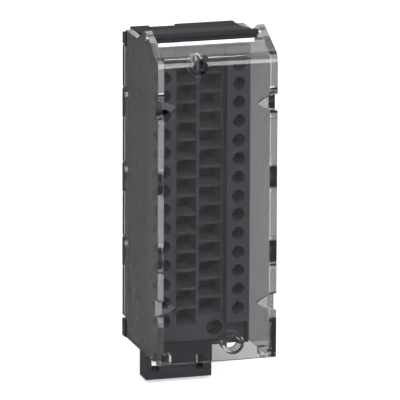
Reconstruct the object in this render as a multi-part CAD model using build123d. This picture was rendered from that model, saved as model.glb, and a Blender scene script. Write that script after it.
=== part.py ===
from build123d import *
import math
import os

# A removable terminal block with 28 terminals in two staggered columns, as it
# plugs onto the front of a control module.
# A dark carrier holds the dark terminal block between its back plate, top plate
# and floor, and ends below in a foot for a cable tie. A clear cover hangs on two
# pins of the carrier's top plate and swings up to show the terminals.
# X runs across the block, Y from its front to the module, Z up.
# The origin is on the rear seat, midway between the two fixing screws.

os.makedirs("parts", exist_ok=True)

# Overall sizes
width = 32.0  # over the cover's side walls
depth = 33.5  # cover's front face to the rear seat
terminals = 14  # in each of the two columns
pitch = 5.0  # from one terminal of a column to the next

# Clearances between pieces
swing_gap = 0.3  # between the cover and what it swings past
swing_lift = 0.4  # extra room above each round tab, for the cover's downward swing
low_tab_lift = 1.0  # the same above the lowest tabs
side_gap = 1.1  # terminal block to the cover's side wall
seat_gap = 0.15  # between the terminal block and the carrier round it
rear_gap = 0.25  # cover's rear edge to the seat plane
contact_gap = 0.04  # between a contact and its chamber
screw_gap = 0.25  # round a screw's shank
head_gap = 0.15  # round a screw's head
ring_play = 0.1  # along the screw, each side of its ring
ring_fit = 0.05  # between a ring and its groove
pin_fit = 0.06  # between a hinge pin and its hole

# Cover
side_wall = 1.8
front_wall = 1.3
fold_below_top = 1.25  # front fold, below the terminal block's top
slope = 0.457  # rise of the sloped panel for each millimetre to the rear
slope_thickness = 1.4
fold_radius = 3.0  # outer rounding of the fold
fold_inner_radius = 1.65
peak_radius = 0.5
peak_back = 12.2  # top of the arm, behind the front face
shoulder_back = 19.8  # where the arm's rear slope meets the level top edge
shoulder_over = 0.8  # level top edge, above the terminal block's top
lip_over = 1.4  # front lip of the ledge, above the terminal block's top
ledge_depth = 2.0
ledge_tilt = 0.2126  # rise of the ledge for each millimetre to the rear
ledge_thickness = 1.3
notch_heights = (26.6, -26.4)  # finger notches in the front corners
notch_half_height = 2.25
notch_reach = 5.3
notch_bulge = 0.42  # how far each edge of a notch bows out from its chord
notch_depth = 2.4
sleeve_radius = 2.9
sleeve_bore_radius = 2.0
sleeve_length = 4.7
lug_width = 2.1  # small lugs in the bottom front corners
lug_depth = 3.2
lug_height = 2.4

# Hinge
hinge_back = 11.9  # pivot, behind the cover's front face
hinge_over = 2.5  # pivot, above the terminal block's top
pin_radius = 0.7
pin_length = 1.6
bead_radius = 0.75

# Terminal block
block_over = 6.55  # from the outermost terminal to the end of the block
floor_back = 18.5  # funnel floor, behind the cover's front face
strip_back = 15.0  # face of the raised strips, behind the cover's front face
strip_width = 6.25
strip_long_over = 4.35  # strip beyond its outermost terminal, at the long end
strip_short_over = 3.85  # and at the short end
rim = 0.4
entry_inset = 3.1  # centre of a round entry, from the block's side
entry_radius = 1.7
entry_flats = 24  # a round entry is cut with this many flats, to keep the surface light
centre_rib = 0.8
funnel_strip_rib = 0.55
funnel_rib = 0.75
funnel_depth = 4.0
funnel_taper_x = 1.0
funnel_taper_z = 0.75
slot_depth = 3.0
side_recess_length = 2.8
side_recess_height = 3.0
side_recess_depth = 0.5
side_recess_back = 23.5  # behind the cover's front face
boss_over = 0.8  # rear boss beyond the last contact chamber
boss_side = 0.75
boss_rear_gap = 0.5

# Contacts and springs
sheet = 0.45
chamber_width = 3.7
chamber_rib = 0.9
chamber_length = 10.9
cage_length = 5.4
fork_width = 2.0
fork_tip_gap = 0.5
fork_rear_gap = 1.2
spring_sheet = 0.3
spring_side_gap = 0.3

# Carrier
plate_thickness = 2.8
top_over = 0.9  # carrier's top, above the terminal block's top
floor_thickness = 1.15
plate_rise = 6.2  # how far the top plate runs level before it rises to the front
tab_radius = 4.3
tab_bulge = 2.6
tab_heights = (21.1, 1.1, -18.9)
top_tab_inset = 1.2
top_tab_height = 3.0
low_tab_height = 4.65
latch_notch = (-9.0, -1.9)
latch_notch_depth = 1.7
latch_notch_height = 3.0

# Cable-tie foot
foot_width = 17.8
foot_back = 18.0  # foot's front, behind the cover's front face
foot_depth = 6.0
foot_height = 8.5
foot_side_rim = 1.5
foot_bottom_rim = 2.1
tie_hole_width = 2.05
tie_hole_height = 4.0
tie_web_width = 10.0
tie_web = 2.0
tie_bevel = 0.5

# Fixing screws and rings
screw_x = 4.65
screw_over = 3.3  # screw's axis, beyond the outermost terminal
shank_radius = 1.25
head_radius = 2.0
head_height = 2.4
head_seat_y = -9.0
screw_reach = 4.0  # beyond the rear seat when driven in
screw_travel = 4.0
undercut_radius = 1.0  # relief behind the threaded end
undercut_length = 1.0
slot_width = 0.8
slot_cut = 1.1
groove_radius = 1.0
ring_radius = 2.2
ring_thickness = 0.5
ring_cavity_radius = 2.6
tip_chamfer = 0.4

# Worked out from the sizes above
half_width = width / 2
inner_x = half_width - side_wall
block_x = inner_x - side_gap
carrier_x = inner_x - swing_gap
entry_x = block_x - entry_inset
strip_inner_x = block_x - strip_width
chamber_height = pitch - chamber_rib
funnel_height = pitch - funnel_rib
spring_width = chamber_width - 2 * (contact_gap + sheet + spring_side_gap)
first_right_z = (terminals - 1) * pitch / 2 + pitch / 4
first_left_z = (terminals - 1) * pitch / 2 - pitch / 4
column_tops = {"left": (-1, first_left_z), "right": (1, first_right_z)}
block_z = first_right_z + block_over
front_y = -depth
strip_y = front_y + strip_back
floor_y = front_y + floor_back
plate_front_y = -plate_thickness
chamber_front_y = -chamber_length
hinge_y = front_y + hinge_back
hinge_z = block_z + hinge_over
fold_z = block_z - fold_below_top
shoulder_z = block_z + shoulder_over
lip_z = block_z + lip_over
carrier_top_z = block_z + top_over
carrier_bottom_z = -block_z - seat_gap - floor_thickness
cover_bottom_z = carrier_bottom_z + swing_gap
top_tab = (carrier_top_z - top_tab_inset - top_tab_height, carrier_top_z - top_tab_inset)
low_tab_top_z = carrier_bottom_z + low_tab_height
screw_z = first_right_z + screw_over
screw_places = {"top": (-screw_x, screw_z), "bottom": (screw_x, -screw_z)}


def slab(x0, x1, y0, y1, z0, z1):
    """A box between two opposite corners."""
    middle = Pos((x0 + x1) / 2, (y0 + y1) / 2, (z0 + z1) / 2)
    return middle * Box(abs(x1 - x0), abs(y1 - y0), abs(z1 - z0))


def side_prism(points, x0, x1):
    """An outline of (y, z) points, extruded across from x0 to x1."""
    outline = Polyline(*[(x0, y, z) for y, z in points], close=True)
    return extrude(make_face(outline), amount=x1 - x0, dir=(1, 0, 0))


def flat_prism(points, z0, z1):
    """An outline of (x, y) points, extruded upwards from z0 to z1."""
    outline = Polyline(*[(x, y, z0) for x, y in points], close=True)
    return extrude(make_face(outline), amount=z1 - z0, dir=(0, 0, 1))


def rod_y(x, z, y0, y1, radius):
    """A round bar along Y."""
    return Pos(x, (y0 + y1) / 2, z) * Rot(90, 0, 0) * Cylinder(radius, abs(y1 - y0))


def flat_rod_y(x, z, y0, y1, radius, flats):
    """A bar along Y that is almost round, with a number of flats."""
    start = Plane(origin=(x, y0, z), x_dir=(1, 0, 0), z_dir=(0, 1, 0))
    return extrude(start * RegularPolygon(radius, flats), amount=y1 - y0)


def rod_x(y, z, x0, x1, radius):
    """A round bar along X."""
    return Pos((x0 + x1) / 2, y, z) * Rot(0, 90, 0) * Cylinder(radius, abs(x1 - x0))


def terminal_places():
    """Side name, side sign, number and height of each terminal."""
    for side, (sign, top_z) in column_tops.items():
        for k in range(terminals):
            yield side, sign, k + 1, top_z - k * pitch


def save(shape, name):
    """Write one node."""
    export_step(shape, f"parts/{name}.step")


def make_cover():
    """Clear moulding: two side walls, front wall, sloped panel and ledge."""
    slope_z = lambda back: fold_z + slope * back
    rear_y = -rear_gap
    tab_front_y = plate_front_y - swing_gap
    outline = [
        (front_y, cover_bottom_z),
        (front_y, fold_z),
        (front_y + peak_back, slope_z(peak_back)),
        (front_y + shoulder_back, shoulder_z),
        (tab_front_y, shoulder_z),
        (tab_front_y, top_tab[0] - swing_gap),
        (rear_y, top_tab[0] - swing_gap),
        (rear_y, low_tab_top_z + low_tab_lift),
        (tab_front_y, low_tab_top_z + low_tab_lift),
        (tab_front_y, cover_bottom_z),
    ]
    shell = side_prism(outline, -half_width, half_width)
    fold = shell.edges().filter_by(Axis.X).sort_by_distance((0, front_y, fold_z))[0]
    shell = fillet(fold, fold_radius)
    arm_top = shell.edges().filter_by(Axis.X).sort_by_distance(
        (0, front_y + peak_back, slope_z(peak_back)))[0]
    shell = fillet(arm_top, peak_radius)

    # Inside: the hollow behind the front wall, under the slope and the ledge.
    slope_drop = slope_thickness * math.sqrt(1 + slope**2)
    lip_back = (lip_z - fold_z) / slope
    lip_y = front_y + lip_back
    ledge_rear_y = lip_y + ledge_depth
    ledge_rise = ledge_tilt * ledge_depth
    under_z = lip_z - ledge_thickness
    wall_back = front_wall
    under_back = (under_z - ledge_tilt * lip_back - fold_z + slope_drop) / (slope - ledge_tilt)
    above = slope_z(peak_back) + 1
    hollow = side_prism(
        [
            (front_y + wall_back, cover_bottom_z - 1),
            (front_y + wall_back, slope_z(wall_back) - slope_drop),
            (front_y + under_back, slope_z(under_back) - slope_drop),
            (ledge_rear_y, under_z + ledge_rise),
            (ledge_rear_y, above),
            (1, above),
            (1, cover_bottom_z - 1),
        ],
        -inner_x,
        inner_x,
    )
    inner_fold = hollow.edges().filter_by(Axis.X).sort_by_distance(
        (0, front_y + wall_back, slope_z(wall_back) - slope_drop))[0]
    hollow = fillet(inner_fold, fold_inner_radius)
    over_ledge = [(lip_y, lip_z), (ledge_rear_y, lip_z + ledge_rise), (ledge_rear_y, above), (lip_y, above)]
    open_top = side_prism(over_ledge, -inner_x, inner_x)
    body = shell - hollow - open_top

    # Sleeves that guide a screwdriver to the fixing screws, trimmed to the shell.
    for x, z in screw_places.values():
        sleeve = rod_y(x, z, front_y - 1, front_y + sleeve_length, sleeve_radius)
        body += sleeve & shell
    for x, z in screw_places.values():
        body -= rod_y(x, z, front_y - 1, front_y + sleeve_length + 1, sleeve_bore_radius)

    for sign in (-1, 1):
        # Bottom lug, finger notches, hinge hole and the rooms for the round tabs.
        lug_x = (sign * (inner_x - lug_width), sign * (inner_x + 0.1))
        lug_y = (front_y + front_wall - 0.1, front_y + front_wall + lug_depth)
        body += slab(*lug_x, *lug_y, cover_bottom_z, cover_bottom_z + lug_height)
        for z in notch_heights:
            body -= finger_notch(sign, z)
        outer = sign * (half_width + 1)
        inner = sign * (inner_x - 1)
        body -= rod_x(hinge_y, hinge_z, inner, outer, pin_radius + pin_fit)
        centre_y = tab_radius - tab_bulge
        room = tab_radius + swing_gap
        for z in tab_heights:
            body -= rod_x(centre_y, z, inner, outer, room)
            body -= rod_x(centre_y, z + swing_lift, inner, outer, room)
    return body


def finger_notch(sign, z):
    """Leaf-shaped cut that opens a front corner: two bowed edges that meet in a tip."""
    tip = (half_width - notch_reach, 0)
    edges = []
    for side in (-1, 1):
        corner = (half_width, side * notch_half_height)
        along = (tip[0] - corner[0], -corner[1])
        length = math.hypot(*along)
        middle_x = (tip[0] + corner[0]) / 2 - notch_bulge * notch_half_height / length
        middle_z = corner[1] / 2 + side * notch_bulge * notch_reach / length
        far = (half_width + 1, corner[1])
        edges.append([corner, (middle_x, middle_z), tip, far])
    place = lambda point: (sign * point[0], front_y - 1, z + point[1])
    low, high = edges
    rim_lines = [
        ThreePointArc(place(low[0]), place(low[1]), place(low[2])),
        ThreePointArc(place(high[2]), place(high[1]), place(high[0])),
        Line(place(high[0]), place(high[3])),
        Line(place(high[3]), place(low[3])),
        Line(place(low[3]), place(low[0])),
    ]
    leaf = make_face(Wire(rim_lines))
    return extrude(leaf, amount=notch_depth + 1, dir=(0, 1, 0))


def make_block():
    """Dark terminal block: raised strips, funnels, round entries and bosses."""
    rear_y = plate_front_y - seat_gap
    body = slab(-block_x, block_x, floor_y, rear_y, -block_z, block_z)
    for sign in (-1, 1):
        long_end = first_right_z + strip_long_over
        short_end = first_left_z + strip_short_over
        low = -short_end if sign > 0 else -long_end
        high = long_end if sign > 0 else short_end
        inner, outer = sign * strip_inner_x, sign * block_x
        body += slab(inner, outer, strip_y, floor_y + 0.1, low, high)
        # A thin rim carries on past the strip's short end.
        end = -sign * block_z
        start = -sign * short_end
        body += slab(outer - sign * rim, outer, strip_y, floor_y + 0.1, start + sign * 0.1, end)
        boss_top, boss_low = boss_span(sign)
        boss_x = (sign * (entry_x - boss_half_width()), sign * (entry_x + boss_half_width()))
        body += slab(*boss_x, rear_y - 0.1, -boss_rear_gap, boss_low, boss_top)

    cuts = []
    for side, sign, number, z in terminal_places():
        entry_y = (strip_y - 1, chamber_front_y + 0.01)
        cuts.append(flat_rod_y(sign * entry_x, z, *entry_y, entry_radius, entry_flats))
        cuts.append(funnel(sign, z))
        x = sign * entry_x
        chamber_x = (x - chamber_width / 2, x + chamber_width / 2)
        chamber_z = (z - chamber_height / 2, z + chamber_height / 2)
        cuts.append(slab(*chamber_x, chamber_front_y, 0, *chamber_z))
        recess_x = (sign * (block_x - side_recess_depth), sign * (block_x + 1))
        recess_y = (front_y + side_recess_back, front_y + side_recess_back + side_recess_length)
        cuts.append(slab(*recess_x, *recess_y, z - side_recess_height / 2, z + side_recess_height / 2))
    for x, z in screw_places.values():
        cuts.append(rod_y(x, z, strip_y - 1, head_seat_y, head_radius + head_gap))
        cuts.append(rod_y(x, z, head_seat_y - 1, 0, shank_radius + screw_gap))
        cuts.append(rod_y(x, z, ring_front_y() - screw_travel - screw_gap, 0, ring_cavity_radius))
    return body - cuts


def funnel(sign, z):
    """Tapered mouth with a straight slot behind it."""
    inner = centre_rib / 2
    outer = strip_inner_x - funnel_strip_rib
    middle = sign * (inner + outer) / 2
    mouth_w = outer - inner
    slot_w = mouth_w - 2 * funnel_taper_x
    slot_h = funnel_height - 2 * funnel_taper_z
    mouth = Plane(origin=(middle, floor_y, z), x_dir=(1, 0, 0), z_dir=(0, 1, 0))
    throat = mouth.offset(funnel_depth)
    taper = loft([mouth * Rectangle(mouth_w, funnel_height), throat * Rectangle(slot_w, slot_h)])
    slot = extrude(throat * Rectangle(slot_w, slot_h), amount=slot_depth)
    return taper + slot


def boss_half_width():
    """Half the width of a rear boss round one column of chambers."""
    return chamber_width / 2 + boss_side


def boss_span(sign):
    """Top and bottom of the rear boss on one side."""
    top_z = first_right_z if sign > 0 else first_left_z
    over = chamber_height / 2 + boss_over
    return top_z + over, top_z - (terminals - 1) * pitch - over


def ring_front_y():
    """Front face of a retaining ring when its screw is driven in."""
    return plate_front_y - screw_gap - ring_thickness


def make_carrier():
    """Dark carrier: back plate, top plate, hinge pins, tabs, floor and foot."""
    body = slab(-carrier_x, carrier_x, plate_front_y, 0, carrier_bottom_z, carrier_top_z)

    # Top plate over the block, rising to a rounded front edge.
    under_z = block_z + seat_gap
    nose_y = hinge_y - bead_radius + 0.3
    plate = [
        (0, under_z),
        (0, carrier_top_z),
        (-plate_rise, carrier_top_z),
        (hinge_y, hinge_z + bead_radius - 0.35),
        (nose_y, hinge_z),
        (nose_y, hinge_z - 2 * bead_radius),
        (strip_y - 1, under_z),
    ]
    body += side_prism(plate, -carrier_x, carrier_x)
    body += rod_x(hinge_y, hinge_z, -carrier_x, carrier_x, bead_radius)
    pin_end = carrier_x + pin_length + swing_gap
    body += rod_x(hinge_y, hinge_z, -pin_end, pin_end, pin_radius)

    # Floor under the block.
    foot_front_y = front_y + foot_back
    floor_top_z = -block_z - seat_gap
    body += slab(-carrier_x, carrier_x, foot_front_y, plate_front_y + 0.1, carrier_bottom_z, floor_top_z)

    # Tabs that stand in the cover's cut-outs, flush with its outer faces.
    for sign in (-1, 1):
        inner, outer = sign * (carrier_x - 1), sign * half_width
        for z in tab_heights:
            disc = rod_x(tab_radius - tab_bulge, z, inner, outer, tab_radius)
            body += disc & slab(inner, outer, -2 * tab_bulge, 0, z - tab_radius, z + tab_radius)
        body += slab(inner, outer, plate_front_y, 0, *top_tab)
        body += slab(inner, outer, plate_front_y, 0, carrier_bottom_z, low_tab_top_z)

    # Windows for the bosses, holes for the screws, notch at the back of the top.
    for sign in (-1, 1):
        top_z, low_z = boss_span(sign)
        half = boss_half_width() + seat_gap
        window_x = (sign * (entry_x - half), sign * (entry_x + half))
        body -= slab(*window_x, plate_front_y - 1, 1, low_z - seat_gap, top_z + seat_gap)
    for x, z in screw_places.values():
        body -= rod_y(x, z, plate_front_y - 1, 1, shank_radius + screw_gap)
    notch_low = carrier_top_z - latch_notch_height
    body -= slab(*latch_notch, -latch_notch_depth, 1, notch_low, carrier_top_z + 1)
    return body + make_foot(foot_front_y)


def make_foot(foot_front_y):
    """Foot for a cable tie: two holes, and a hollow behind the web between them."""
    rear_y = foot_front_y + foot_depth
    left_x = -carrier_x
    bottom_z = carrier_bottom_z - foot_height
    hole_z = (bottom_z + foot_bottom_rim, bottom_z + foot_bottom_rim + tie_hole_height)
    foot = slab(left_x, left_x + foot_width, foot_front_y, rear_y, bottom_z, carrier_bottom_z + 0.1)
    first_hole = left_x + foot_side_rim
    second_hole = first_hole + tie_hole_width + tie_web_width
    for left in (first_hole, second_hole):
        right = left + tie_hole_width
        foot -= slab(left, right, foot_front_y - 1, rear_y + 1, *hole_z)
        bevel = [
            (foot_front_y, hole_z[0] - tie_bevel),
            (foot_front_y - 1, hole_z[0] - tie_bevel),
            (foot_front_y - 1, hole_z[0] + 0.1),
            (foot_front_y + tie_bevel, hole_z[0] + 0.1),
            (foot_front_y + tie_bevel, hole_z[0]),
        ]
        foot -= side_prism(bevel, left, right)
    tie_space = (first_hole, second_hole + tie_hole_width)
    return foot - slab(*tie_space, foot_front_y + tie_web, rear_y + 1, *hole_z)


def make_contact(sign, z):
    """Sheet-metal cage with a two-armed fork towards the module."""
    half_w = chamber_width / 2 - contact_gap
    half_h = chamber_height / 2 - contact_gap
    x = sign * entry_x
    start = chamber_front_y + contact_gap
    end = start + cage_length
    cage = slab(x - half_w, x + half_w, start, end, z - half_h, z + half_h)
    cage -= slab(
        x - half_w + sheet, x + half_w - sheet, start - 1, end + 1,
        z - half_h + sheet, z + half_h - sheet)
    tip = -fork_rear_gap
    pinch_y = tip - 1.2
    for arm in (-1, 1):
        outer = arm * half_w
        pinch = arm * (fork_tip_gap / 2 + sheet)
        flare = pinch + arm * 0.5
        arm_outline = [
            (x + outer, end - 1),
            (x + outer, end),
            (x + pinch, pinch_y),
            (x + flare, tip),
            (x + flare - arm * sheet, tip),
            (x + pinch - arm * sheet, pinch_y),
            (x + outer - arm * sheet, end),
            (x + outer - arm * sheet, end - 1),
        ]
        cage += flat_prism(arm_outline, z - fork_width / 2, z + fork_width / 2)
    return cage


def make_spring(sign, z):
    """Bent leaf spring in a cage: a flat leg and a leg that presses the wire."""
    x = sign * entry_x
    top = z + chamber_height / 2 - contact_gap - sheet
    start = chamber_front_y + 0.6
    end = start + cage_length - 1.0
    drop = chamber_height - 2 * (sheet + contact_gap) - 0.6
    outline = [
        (start, top),
        (end, top),
        (end + spring_sheet, top - 0.5),
        (end, top - 1.0),
        (start + 1.0, top - drop),
        (start + 0.8, top - drop + spring_sheet),
        (end - spring_sheet, top - 0.8),
        (end - 0.2, top - 0.5),
        (end - spring_sheet, top - spring_sheet),
        (start, top - spring_sheet),
    ]
    return side_prism(outline, x - spring_width / 2, x + spring_width / 2)


def make_screw(x, z):
    """Captive screw: slotted head, shank with a groove, chamfered tip."""
    head_front = head_seat_y - head_height
    head = rod_y(x, z, head_front, head_seat_y, head_radius)
    rim_edge = head.edges().filter_by(GeomType.CIRCLE).sort_by(Axis.Y)[0]
    head = chamfer(rim_edge, 0.25)
    head -= slab(x - head_radius - 1, x + head_radius + 1, head_front - 1, head_front + slot_cut,
                 z - slot_width / 2, z + slot_width / 2)
    shank = rod_y(x, z, head_seat_y - 0.1, screw_reach, shank_radius)
    tip_edge = shank.edges().filter_by(GeomType.CIRCLE).sort_by(Axis.Y)[-1]
    shank = chamfer(tip_edge, tip_chamfer)
    groove_y = (ring_front_y() - ring_play, ring_front_y() + ring_thickness + ring_play)
    undercut_y = (-undercut_length, 0.05)
    for band, radius in ((groove_y, groove_radius), (undercut_y, undercut_radius)):
        shank -= rod_y(x, z, *band, shank_radius + 1) - rod_y(x, z, *band, radius)
    return head + shank


def make_ring(x, z):
    """Open retaining ring in the screw's groove."""
    y0 = ring_front_y()
    y1 = y0 + ring_thickness
    bore = groove_radius + ring_fit
    ring = rod_y(x, z, y0, y1, ring_radius) - rod_y(x, z, y0 - 1, y1 + 1, bore)
    mouth = 0.8 * bore
    return ring - slab(x - mouth, x + mouth, y0 - 1, y1 + 1, z - ring_radius - 1, z)


save(make_cover(), "cover")
save(make_block(), "terminal_block")
save(make_carrier(), "carrier")
for name, (x, z) in screw_places.items():
    save(make_screw(x, z), f"screw_{name}")
    save(make_ring(x, z), f"ring_{name}")
springs = {"left": [], "right": []}
for side, sign, number, z in terminal_places():
    save(make_contact(sign, z), f"contact_{side}_{number:02d}")
    springs[side].append(make_spring(sign, z))
for side, leaves in springs.items():
    save(Compound(children=leaves), f"springs_{side}")
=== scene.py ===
import math

import bpy
import numpy as np
from mathutils import Matrix, Vector


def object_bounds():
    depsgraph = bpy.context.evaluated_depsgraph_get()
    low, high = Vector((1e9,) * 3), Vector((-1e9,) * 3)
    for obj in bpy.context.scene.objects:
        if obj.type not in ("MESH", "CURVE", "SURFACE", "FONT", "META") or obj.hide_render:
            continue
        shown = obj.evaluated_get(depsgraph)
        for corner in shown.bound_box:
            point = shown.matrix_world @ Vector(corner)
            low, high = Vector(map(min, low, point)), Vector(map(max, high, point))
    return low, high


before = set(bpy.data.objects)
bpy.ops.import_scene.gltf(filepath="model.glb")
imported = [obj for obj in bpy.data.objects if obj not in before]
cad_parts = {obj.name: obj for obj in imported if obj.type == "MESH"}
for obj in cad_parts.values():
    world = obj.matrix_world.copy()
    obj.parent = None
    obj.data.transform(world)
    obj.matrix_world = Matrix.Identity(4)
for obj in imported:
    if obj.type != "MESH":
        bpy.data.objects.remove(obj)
cad_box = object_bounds()
mm = 0.001


# The terminal block: one dark moulding of filled polyamide with a fine satin
# skin. It stands in the carrier and holds all the contacts.
def math_node(tree, operation, *given):
    """Adds one Math node. Each thing given is an output to link or a number."""
    node = tree.nodes.new("ShaderNodeMath")
    node.operation = operation
    for socket, value in zip(node.inputs, given):
        if isinstance(value, bpy.types.NodeSocket):
            tree.links.new(value, socket)
        else:
            socket.default_value = value
    return node.outputs[0]


def moulded_skin():
    """Node group: slow clouds of tone and a fine grain, both over the surface.

    Tone is the colour times 1 plus a small share of a wide noise less a half.
    Roughness follows the same noise. The normal comes from a fine noise.
    """
    cloud_scale, grain_scale = 70.0, 4200.0
    rough_low, rough_high = 0.52, 0.66
    grain_strength, grain_height = 0.12, 0.02 * mm
    group = bpy.data.node_groups.new("moulded_skin", "ShaderNodeTree")
    face = group.interface
    face.new_socket("Color", in_out="INPUT", socket_type="NodeSocketColor")
    face.new_socket("Cloud share", in_out="INPUT", socket_type="NodeSocketFloat")
    face.new_socket("Color", in_out="OUTPUT", socket_type="NodeSocketColor")
    face.new_socket("Roughness", in_out="OUTPUT", socket_type="NodeSocketFloat")
    face.new_socket("Normal", in_out="OUTPUT", socket_type="NodeSocketVector")
    nodes, links = group.nodes, group.links
    given = nodes.new("NodeGroupInput")
    out = nodes.new("NodeGroupOutput")
    place = nodes.new("ShaderNodeTexCoord")
    wide = nodes.new("ShaderNodeTexNoise")
    wide.inputs["Scale"].default_value = cloud_scale
    wide.inputs["Detail"].default_value = 3.0
    fine = nodes.new("ShaderNodeTexNoise")
    fine.inputs["Scale"].default_value = grain_scale
    fine.inputs["Detail"].default_value = 2.0
    for noise in (wide, fine):
        links.new(place.outputs["Object"], noise.inputs["Vector"])
    centred = math_node(group, "SUBTRACT", wide.outputs["Fac"], 0.5)
    share = math_node(group, "MULTIPLY", centred, given.outputs["Cloud share"])
    tone = math_node(group, "ADD", share, 1.0)
    shade = nodes.new("ShaderNodeVectorMath")
    shade.operation = "SCALE"
    links.new(given.outputs["Color"], shade.inputs[0])
    links.new(tone, shade.inputs["Scale"])
    rough = nodes.new("ShaderNodeMapRange")
    rough.inputs["To Min"].default_value = rough_low
    rough.inputs["To Max"].default_value = rough_high
    links.new(wide.outputs["Fac"], rough.inputs["Value"])
    bump = nodes.new("ShaderNodeBump")
    bump.inputs["Strength"].default_value = grain_strength
    bump.inputs["Distance"].default_value = grain_height
    links.new(fine.outputs["Fac"], bump.inputs["Height"])
    links.new(shade.outputs[0], out.inputs["Color"])
    links.new(rough.outputs[0], out.inputs["Roughness"])
    links.new(bump.outputs[0], out.inputs["Normal"])
    return group


skin = moulded_skin()


def new_material(name):
    """An empty node material and its Principled BSDF."""
    material = bpy.data.materials.new(name)
    material.use_nodes = True
    return material, material.node_tree.nodes["Principled BSDF"]


def dark_moulding(name, color, clouds, shine):
    """Satin dark plastic of one colour, with the moulded skin over it."""
    material, shader = new_material(name)
    nodes, links = material.node_tree.nodes, material.node_tree.links
    shader.inputs["Specular IOR Level"].default_value = shine
    surface = nodes.new("ShaderNodeGroup")
    surface.node_tree = skin
    surface.inputs["Color"].default_value = (*color, 1)
    surface.inputs["Cloud share"].default_value = clouds
    for effect, socket in (("Color", "Base Color"), ("Roughness", "Roughness"), ("Normal", "Normal")):
        links.new(surface.outputs[effect], shader.inputs[socket])
    return material


def finish_node(name, material):
    """Gives a node of the frame its material."""
    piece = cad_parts[name]
    piece.data.materials.clear()
    piece.data.materials.append(material)


block_color = (0.083, 0.088, 0.102)
finish_node("terminal_block", dark_moulding("block_polyamide", block_color, clouds=0.10, shine=0.12))


# The carrier: a second dark moulding, a shade deeper, with the top plate, the
# side tabs, the floor and the foot for a cable tie in one piece.
carrier_color = (0.036, 0.038, 0.043)
finish_node("carrier", dark_moulding("carrier_polyamide", carrier_color, clouds=0.10, shine=0.02))


# Contacts, springs, fixing screws and their rings: small pressed and turned
# metal pieces, tin plated, rolled or black zinc plated.
def plated_metal(name, color, roughness, streak):
    """Plated metal: roughness and tone follow a noise drawn out along Y."""
    grain_scale, darkest = 2500.0, 0.86
    material, shader = new_material(name)
    nodes, links = material.node_tree.nodes, material.node_tree.links
    shader.inputs["Metallic"].default_value = 1.0
    place = nodes.new("ShaderNodeTexCoord")
    drawn = nodes.new("ShaderNodeMapping")
    drawn.inputs["Scale"].default_value = (1.0, streak, 1.0)
    grain = nodes.new("ShaderNodeTexNoise")
    grain.inputs["Scale"].default_value = grain_scale
    grain.inputs["Detail"].default_value = 3.0
    spread = nodes.new("ShaderNodeMapRange")
    spread.inputs["To Min"].default_value = roughness - 0.07
    spread.inputs["To Max"].default_value = roughness + 0.10
    tone = nodes.new("ShaderNodeMix")
    tone.data_type = "RGBA"
    tone.inputs["A"].default_value = (*[c * darkest for c in color], 1)
    tone.inputs["B"].default_value = (*color, 1)
    links.new(place.outputs["Object"], drawn.inputs["Vector"])
    links.new(drawn.outputs["Vector"], grain.inputs["Vector"])
    links.new(grain.outputs["Fac"], spread.inputs["Value"])
    links.new(grain.outputs["Fac"], tone.inputs["Factor"])
    links.new(spread.outputs[0], shader.inputs["Roughness"])
    links.new(tone.outputs["Result"], shader.inputs["Base Color"])
    return material


tin = plated_metal("tin_plate", (0.70, 0.69, 0.66), roughness=0.32, streak=0.15)
spring_steel = plated_metal("spring_steel", (0.55, 0.55, 0.56), roughness=0.28, streak=0.1)
zinc = plated_metal("black_zinc", (0.10, 0.10, 0.105), roughness=0.42, streak=1.0)
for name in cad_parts:
    if name.startswith("contact_"):
        finish_node(name, tin)
    elif name.startswith("springs_"):
        finish_node(name, spring_steel)
    elif name.startswith(("screw_", "ring_")):
        finish_node(name, zinc)


# The cover: one clear moulding of smoke-tinted polycarbonate, polished on all
# its faces, that hangs on the two pins of the carrier's top plate.
def blend(tree, factor, first, second):
    """Adds a colour Mix. Each colour is an output to link or three numbers."""
    node = tree.nodes.new("ShaderNodeMix")
    node.data_type = "RGBA"
    tree.links.new(factor, node.inputs["Factor"])
    for socket, color in ((node.inputs["A"], first), (node.inputs["B"], second)):
        if isinstance(color, bpy.types.NodeSocket):
            tree.links.new(color, socket)
        else:
            socket.default_value = (*color, 1)
    return node.outputs["Result"]


def mixed_shader(tree, factor, first, second):
    """Adds a Mix Shader. The factor is an output to link or a number."""
    node = tree.nodes.new("ShaderNodeMixShader")
    if isinstance(factor, bpy.types.NodeSocket):
        tree.links.new(factor, node.inputs[0])
    else:
        node.inputs[0].default_value = factor
    tree.links.new(first, node.inputs[1])
    tree.links.new(second, node.inputs[2])
    return node.outputs[0]


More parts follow.
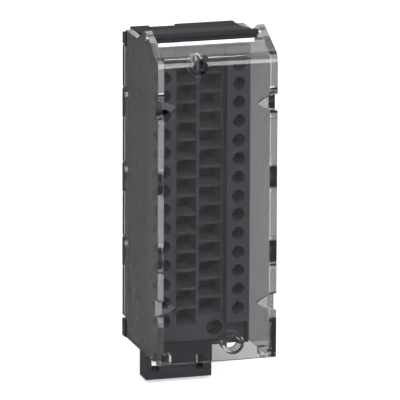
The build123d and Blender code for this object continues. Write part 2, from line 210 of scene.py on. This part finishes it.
def smoked_clear(name, front_tint, edge_painted_shade_tint, side_painted_shade_tint, clear_tint, lamp_tint):
    """Clear plastic that darkens most where the eye first meets it.

    What the eye meets first carries a tint: front_tint within the side walls,
    edge_painted_shade_tint on the walls' own edges and side_painted_shade_tint
    on their outer faces, told apart by the distance from the middle plane. The
    edge and side tints are painted shade, darker than the front tint where the
    walls are seen edge-on and at a slant; the moulding itself is one tint. The
    faces behind take the lighter clear_tint, and light from the lamps comes
    through in lamp_tint.
    Upright faces mirror nothing of the surround, as through a polarising
    filter, and have a faint milky veil.
    """
    refraction = 1.49
    edge_starts, side_starts, tint_step = 14.22 * mm, 15.9 * mm, 0.06 * mm
    upright_to, flat_from = 0.05, 0.95
    veil_share, veil_color = 0.0155, (0.9, 0.9, 0.9)
    material, glass = new_material(name)
    tree = material.node_tree
    nodes, links = tree.nodes, tree.links
    glass.inputs["Transmission Weight"].default_value = 1.0
    glass.inputs["IOR"].default_value = refraction
    glass.inputs["Specular IOR Level"].default_value = 0.3
    place = nodes.new("ShaderNodeTexCoord")
    path = nodes.new("ShaderNodeLightPath")
    seen_first = path.outputs["Is Camera Ray"]
    haze = nodes.new("ShaderNodeTexNoise")
    haze.inputs["Scale"].default_value = 60.0
    polish = nodes.new("ShaderNodeMapRange")
    polish.inputs["To Min"].default_value = 0.0
    polish.inputs["To Max"].default_value = 0.006
    links.new(place.outputs["Object"], haze.inputs["Vector"])
    links.new(haze.outputs["Fac"], polish.inputs["Value"])
    links.new(polish.outputs[0], glass.inputs["Roughness"])

    # Distance from the middle plane picks the tint. The darker edge and side tints are painted shade on
    # the walls, not a darker plastic.
    spot = nodes.new("ShaderNodeSeparateXYZ")
    links.new(place.outputs["Object"], spot.inputs[0])
    outwards = math_node(tree, "ABSOLUTE", spot.outputs["X"])
    seen_tint = front_tint
    for start, tone in ((edge_starts, edge_painted_shade_tint), (side_starts, side_painted_shade_tint)):
        beyond = nodes.new("ShaderNodeMapRange")
        beyond.inputs["From Min"].default_value = start
        beyond.inputs["From Max"].default_value = start + tint_step
        links.new(outwards, beyond.inputs["Value"])
        seen_tint = blend(tree, beyond.outputs[0], seen_tint, tone)

    # Glass takes the square of a tint for the same darkness at one face.
    squared = nodes.new("ShaderNodeVectorMath")
    squared.operation = "MULTIPLY"
    links.new(seen_tint, squared.inputs[0])
    links.new(seen_tint, squared.inputs[1])
    links.new(blend(tree, seen_first, clear_tint, squared.outputs[0]), glass.inputs["Base Color"])

    # Upright faces: all that they mirror goes, inside the front wall too.
    plain = nodes.new("ShaderNodeBsdfRefraction")
    plain.inputs["IOR"].default_value = refraction
    plain.inputs["Roughness"].default_value = 0.0
    clear_once = [math.sqrt(c) for c in clear_tint]
    links.new(blend(tree, seen_first, clear_once, seen_tint), plain.inputs["Color"])
    facing = nodes.new("ShaderNodeSeparateXYZ")
    links.new(place.outputs["Normal"], facing.inputs[0])
    upright = nodes.new("ShaderNodeMapRange")
    upright.inputs["From Max"].default_value = upright_to
    upright.inputs["To Min"].default_value = 1.0
    upright.inputs["To Max"].default_value = 0.0
    links.new(math_node(tree, "ABSOLUTE", facing.outputs["Z"]), upright.inputs["Value"])
    flat_on = math_node(tree, "GREATER_THAN", math_node(tree, "ABSOLUTE", facing.outputs["Y"]), flat_from)
    inner = math_node(tree, "MULTIPLY", flat_on, path.outputs["Is Transmission Ray"])
    quiet = math_node(tree, "MULTIPLY", math_node(tree, "MAXIMUM", seen_first, inner), upright.outputs[0])
    veil = nodes.new("ShaderNodeBsdfDiffuse")
    veil.inputs["Color"].default_value = (*veil_color, 1)
    veiled = mixed_shader(tree, veil_share, plain.outputs[0], veil.outputs[0])
    calm = mixed_shader(tree, quiet, glass.outputs[0], veiled)

    # Lamps shine straight through.
    through = nodes.new("ShaderNodeBsdfTransparent")
    through.inputs["Color"].default_value = (*lamp_tint, 1)
    whole = mixed_shader(tree, path.outputs["Is Shadow Ray"], calm, through.outputs[0])
    links.new(whole, nodes["Material Output"].inputs["Surface"])
    return material


finish_node(
    "cover",
    smoked_clear(
        "smoked_clear",
        front_tint=(0.499, 0.499, 0.498),
        # The edge and side tints are painted shade: darker than the front tint where the walls are seen
        # edge-on and at a slant.
        edge_painted_shade_tint=(0.27, 0.27, 0.275),
        side_painted_shade_tint=(0.349, 0.345, 0.352),
        clear_tint=(0.57, 0.57, 0.58),
        lamp_tint=(0.9, 0.9, 0.9),
    ),
)


# The set: a pale floor and a white surround, a softbox overhead, a wide fill
# from the front, a strip that the cover's fold mirrors and a small lamp behind
# that the cover's ledge mirrors.
def looked_at(tree):
    """1 for what the camera sees, straight or through glass or in a mirror."""
    path = tree.nodes.new("ShaderNodeLightPath")
    seen = math_node(tree, "MAXIMUM", path.outputs["Is Camera Ray"], path.outputs["Is Transmission Ray"])
    return math_node(tree, "MAXIMUM", seen, path.outputs["Is Glossy Ray"])


def plain_surface(name, level, camera_add):
    """Matt white that shows a little brighter where it is looked at."""
    material, shader = new_material(name)
    tree = material.node_tree
    shader.inputs["Base Color"].default_value = (level, level, level, 1)
    shader.inputs["Roughness"].default_value = 0.9
    shader.inputs["Emission Color"].default_value = (1, 1, 1, 1)
    amount = math_node(tree, "MULTIPLY", looked_at(tree), camera_add)
    tree.links.new(amount, shader.inputs["Emission Strength"])
    return material


floor_z = cad_box[0][2] - 1.0 * mm
floor_half = 3.0
floor_mesh = bpy.data.meshes.new("floor")
floor_mesh.from_pydata(
    [(x * floor_half, y * floor_half, floor_z) for x, y in ((-1, -1), (1, -1), (1, 1), (-1, 1))],
    [],
    [(0, 1, 2, 3)],
)
floor = bpy.data.objects.new("floor", floor_mesh)
bpy.context.collection.objects.link(floor)
floor_mesh.materials.append(plain_surface("floor_white", level=0.9, camera_add=0.6))

world_light, world_seen = 0.4, 1.0
world = bpy.data.worlds.new("surround")
bpy.context.scene.world = world
world.use_nodes = True
sky = world.node_tree.nodes["Background"]
sky.inputs["Color"].default_value = (1, 1, 1, 1)
sky_level = world.node_tree.nodes.new("ShaderNodeMapRange")
sky_level.inputs["To Min"].default_value = world_light
sky_level.inputs["To Max"].default_value = world_seen
world.node_tree.links.new(looked_at(world.node_tree), sky_level.inputs["Value"])
world.node_tree.links.new(sky_level.outputs[0], sky.inputs["Strength"])


def softbox(name, place, target, size, watts):
    """A rectangular lamp at place that faces target."""
    lamp = bpy.data.lights.new(name, "AREA")
    lamp.shape = "RECTANGLE"
    lamp.size, lamp.size_y = size
    lamp.energy = watts
    holder = bpy.data.objects.new(name, lamp)
    holder.location = place
    holder.rotation_euler = (Vector(target) - Vector(place)).to_track_quat("-Z", "Y").to_euler()
    bpy.context.collection.objects.link(holder)


middle = (0, -0.017, 0)
ledge = (0, -0.026, 0.042)
fold = (0, -0.0335, 0.038)
softbox("overhead", (0.27, 0.47, 0.82), middle, (0.42, 0.3), 0.5)
softbox("front_fill", (-0.2, -0.95, 0.85), middle, (0.9, 0.7), 11.5)
softbox("ledge_kick", (0.386, 1.111, 0.939), ledge, (0.10, 0.10), 0.3)
softbox("front_strip", (0.344, -1.18, 0.304), fold, (0.1, 1.05), 2.1)


# The camera: a long lens that looks a little down onto the front and the left
# side, at the angle of the photograph.
turn = math.radians(16.601)
tilt = math.radians(13.926)
roll = math.radians(0.225)
distance = 1686.95 * mm
aim = np.array((-4.76, -33.5, 2.088)) * mm
forward = np.array((math.sin(turn) * math.cos(tilt), math.cos(turn) * math.cos(tilt), -math.sin(tilt)))
level_right = np.array((math.cos(turn), -math.sin(turn), 0))
level_up = np.cross(level_right, forward)
right = level_right * math.cos(roll) + level_up * math.sin(roll)
up = level_up * math.cos(roll) - level_right * math.sin(roll)
lens = bpy.data.cameras.new("camera")
lens.sensor_width = 36.0
lens.lens = 590.67
lens.clip_end = 50.0
camera = bpy.data.objects.new("camera", lens)
rows = np.eye(4)
rows[:3, 0] = right
rows[:3, 1] = up
rows[:3, 2] = -forward
rows[:3, 3] = aim - forward * distance
camera.matrix_world = Matrix(rows.tolist())
bpy.context.collection.objects.link(camera)
bpy.context.scene.camera = camera
bpy.context.scene.view_settings.view_transform = "Standard"
cycles = bpy.context.scene.cycles
cycles.max_bounces = 40
cycles.glossy_bounces = 24
cycles.transmission_bounces = 24
cycles.transparent_max_bounces = 24
